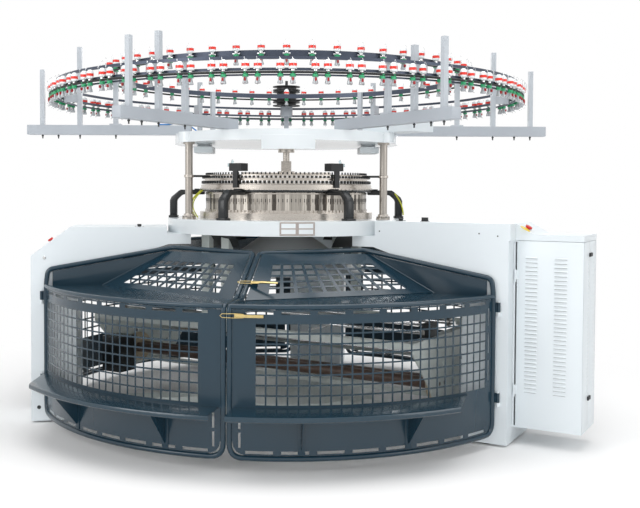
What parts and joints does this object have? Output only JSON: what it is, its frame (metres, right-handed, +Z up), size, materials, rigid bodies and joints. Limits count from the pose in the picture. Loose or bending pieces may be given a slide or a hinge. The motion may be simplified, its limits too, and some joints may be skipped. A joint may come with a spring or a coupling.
{
  "type": "circular knitting machine",
  "caption": "Free-standing circular knitting machine with a turning needle cylinder, a take-down frame behind hinged guard doors and a ring of yarn feeders overhead.",
  "frame": {"origin": "on the floor under the machine's vertical axis, at the centre of the middle foot pad", "axes": "+Z up along the machine axis; -Y towards the front, where the two guard doors meet; +X to the right, towards the cabinet"},
  "size_m": [3.6573, 3.5362, 2.487],
  "materials": {
    "white_enamel": "satin",
    "guard_enamel": "gloss",
    "beam_enamel": "satin",
    "machined_steel": "satin",
    "nickel_plate": "polished",
    "black_plastic": "matt",
    "motor_enamel": "satin",
    "belt_rubber": "matt",
    "roller_rubber": "matt",
    "cable_sheath": "satin",
    "feeder_plastic": "gloss",
    "red_plastic": "gloss",
    "clear_plastic": "gloss",
    "latch_brass": "satin"
  },
  "bodies": {
    "machine": {"base_frame": "white_enamel", "levelling_feet": "machined_steel", "left_leg": "white_enamel", "right_leg": "white_enamel", "rear_leg": "white_enamel", "control_box": "white_enamel", "bed_table": "white_enamel", "nameplates": "machined_steel", "drive_motor": "motor_enamel", "belts": "belt_rubber", "pillars": "machined_steel", "base_ring": "machined_steel", "cam_sections": "nickel_plate", "yarn_ring": "machined_steel", "ring_brackets": "guard_enamel", "dial_cam_ring": "machined_steel", "cam_adjusters": "black_plastic", "dial_hub": "machined_steel", "top_plate": "white_enamel", "top_cover": "white_enamel", "work_lamps": "white_enamel", "fan_motors": "black_plastic", "junction_box": "white_enamel", "cable_runs": "cable_sheath", "feeder_beams": "beam_enamel", "feeder_posts": "beam_enamel", "feeder_rings": "machined_steel", "yarn_feeders": "feeder_plastic", "cabinet_frame": "white_enamel"},
    "rotor": {"needle_cylinder": "machined_steel", "gear_ring": "machined_steel", "takedown_frame": "beam_enamel", "end_plates": "machined_steel", "fabric_cone": "white_enamel", "takedown_drives": "black_plastic"},
    "front_roller": {"front_roller": "roller_rubber"},
    "rear_roller": {"rear_roller": "roller_rubber"},
    "winding_roller": {"winding_roller": "nickel_plate"},
    "dial": {"dial": "machined_steel", "dial_gear": "machined_steel"},
    "drive_shaft": {"drive_shaft": "machined_steel"},
    "motor_pulley": {"motor_pulley": "machined_steel"},
    "pulley_stack": {"pulley_stack": "black_plastic"},
    "left_door": {"left_door_frame": "guard_enamel", "left_door_screen": "guard_enamel"},
    "right_door": {"right_door_frame": "guard_enamel", "right_door_screen": "guard_enamel"},
    "rear_left_door": {"rear_left_door": "guard_enamel"},
    "rear_right_door": {"rear_right_door": "guard_enamel"},
    "cabinet_front": {"cabinet_front_cover": "white_enamel"},
    "cabinet_rear": {"cabinet_rear_cover": "white_enamel"},
    "emergency_button": {"emergency_button": "red_plastic"},
    "right_jog_button": {"right_jog_button": "red_plastic"},
    "left_jog_button": {"left_jog_button": "red_plastic"},
    "left_stop_button": {"left_stop_button": "red_plastic"},
    "selector_knob": {"selector_knob": "black_plastic"},
    "left_fan": {"left_fan": "clear_plastic"},
    "right_fan": {"right_fan": "clear_plastic"},
    "upper_latch": {"upper_latch": "latch_brass"},
    "lower_latch": {"lower_latch": "latch_brass"}
  },
  "joints": [
    {"name": "rotor_turn", "type": "hinge", "parent": "machine", "child": "rotor", "pos_m": [0, 0, 0.4], "axis": [0, 0, 1], "continuous": true},
    {"name": "front_roller_turn", "type": "hinge", "parent": "rotor", "child": "front_roller", "pos_m": [-0.10877, -0.1714, 0.315], "axis": [0.8443, -0.5358, 0], "continuous": true},
    {"name": "rear_roller_turn", "type": "hinge", "parent": "rotor", "child": "rear_roller", "pos_m": [-0.06805, -0.10723, 0.315], "axis": [0.8443, -0.5358, 0], "continuous": true},
    {"name": "winding_roller_turn", "type": "hinge", "parent": "rotor", "child": "winding_roller", "pos_m": [0.08037, 0.12665, 0.43], "axis": [0.8443, -0.5358, 0], "continuous": true},
    {"name": "dial_turn", "type": "hinge", "parent": "machine", "child": "dial", "pos_m": [0, 0, 1.6], "axis": [0, 0, 1], "continuous": true},
    {"name": "drive_shaft_turn", "type": "hinge", "parent": "machine", "child": "drive_shaft", "pos_m": [0.64086, -0.37, 1.5], "axis": [0, 0, 1], "continuous": true},
    {"name": "motor_pulley_turn", "type": "hinge", "parent": "machine", "child": "motor_pulley", "pos_m": [1.33368, -0.77, 1.1], "axis": [0, 0, 1], "continuous": true},
    {"name": "pulley_stack_turn", "type": "hinge", "parent": "machine", "child": "pulley_stack", "pos_m": [0, 1.48, 2.2], "axis": [0, 0, 1], "continuous": true},
    {"name": "left_door_swing", "type": "hinge", "parent": "machine", "child": "left_door", "pos_m": [-1.55792, -0.5936, 0.6], "axis": [0, 0, 1], "range_deg": [-90, 0]},
    {"name": "right_door_swing", "type": "hinge", "parent": "machine", "child": "right_door", "pos_m": [1.23959, -1.1152, 0.6], "axis": [0, 0, 1], "range_deg": [0, 90]},
    {"name": "rear_left_door_swing", "type": "hinge", "parent": "machine", "child": "rear_left_door", "pos_m": [-1.66378, -0.13689, 0.6], "axis": [0, 0, 1], "range_deg": [0, 90]},
    {"name": "rear_right_door_swing", "type": "hinge", "parent": "machine", "child": "rear_right_door", "pos_m": [1.50229, -0.72763, 0.6], "axis": [0, 0, 1], "range_deg": [-90, 0]},
    {"name": "cabinet_front_swing", "type": "hinge", "parent": "machine", "child": "cabinet_front", "pos_m": [1.35082, -1.04432, 0.6], "axis": [0, 0, 1], "range_deg": [-90, 0]},
    {"name": "cabinet_rear_swing", "type": "hinge", "parent": "machine", "child": "cabinet_rear", "pos_m": [1.51981, -0.7516, 0.6], "axis": [0, 0, 1], "range_deg": [0, 90]},
    {"name": "emergency_press", "type": "slide", "parent": "machine", "child": "emergency_button", "axis": [-0.4304, 0.2485, -0.8678], "range_m": [0, 0.004], "stiffness_N_per_m": 600},
    {"name": "right_jog_press", "type": "slide", "parent": "machine", "child": "right_jog_button", "axis": [0, 0, -1], "range_m": [0, 0.004], "stiffness_N_per_m": 600},
    {"name": "left_jog_press", "type": "slide", "parent": "machine", "child": "left_jog_button", "axis": [0, 0, -1], "range_m": [0, 0.004], "stiffness_N_per_m": 600},
    {"name": "left_stop_press", "type": "slide", "parent": "machine", "child": "left_stop_button", "axis": [0.5915, 0.0831, -0.802], "range_m": [0, 0.004], "stiffness_N_per_m": 600},
    {"name": "selector_turn", "type": "hinge", "parent": "machine", "child": "selector_knob", "pos_m": [0.85995, -0.75053, 1.309], "axis": [0, 0, 1], "range_deg": [-45, 45]},
    {"name": "left_fan_turn", "type": "hinge", "parent": "machine", "child": "left_fan", "pos_m": [-0.35716, -0.44532, 1.66], "axis": [-0.8387, 0.5446, 0], "continuous": true},
    {"name": "right_fan_turn", "type": "hinge", "parent": "machine", "child": "right_fan", "pos_m": [0.35716, -0.44532, 1.66], "axis": [0.8387, 0.5446, 0], "continuous": true},
    {"name": "lower_latch_lift", "type": "hinge", "parent": "right_door", "child": "lower_latch", "pos_m": [-0.26492, -1.63569, 0.838], "axis": [0, 0, -1], "range_deg": [0, 120]},
    {"name": "upper_latch_lift", "type": "hinge", "parent": "right_door", "child": "upper_latch", "pos_m": [-0.1944, -1.22739, 0.97197], "axis": [-0.1372, -0.8663, -0.4804], "range_deg": [0, 120]}
  ],
  "couplings": [
    {"joint": "dial_turn", "follows": "rotor_turn", "ratio": 1},
    {"joint": "drive_shaft_turn", "follows": "rotor_turn", "ratio": -13.8},
    {"joint": "motor_pulley_turn", "follows": "rotor_turn", "ratio": -13.8},
    {"joint": "pulley_stack_turn", "follows": "rotor_turn", "ratio": 6},
    {"joint": "rear_roller_turn", "follows": "front_roller_turn", "ratio": -1}
  ]
}
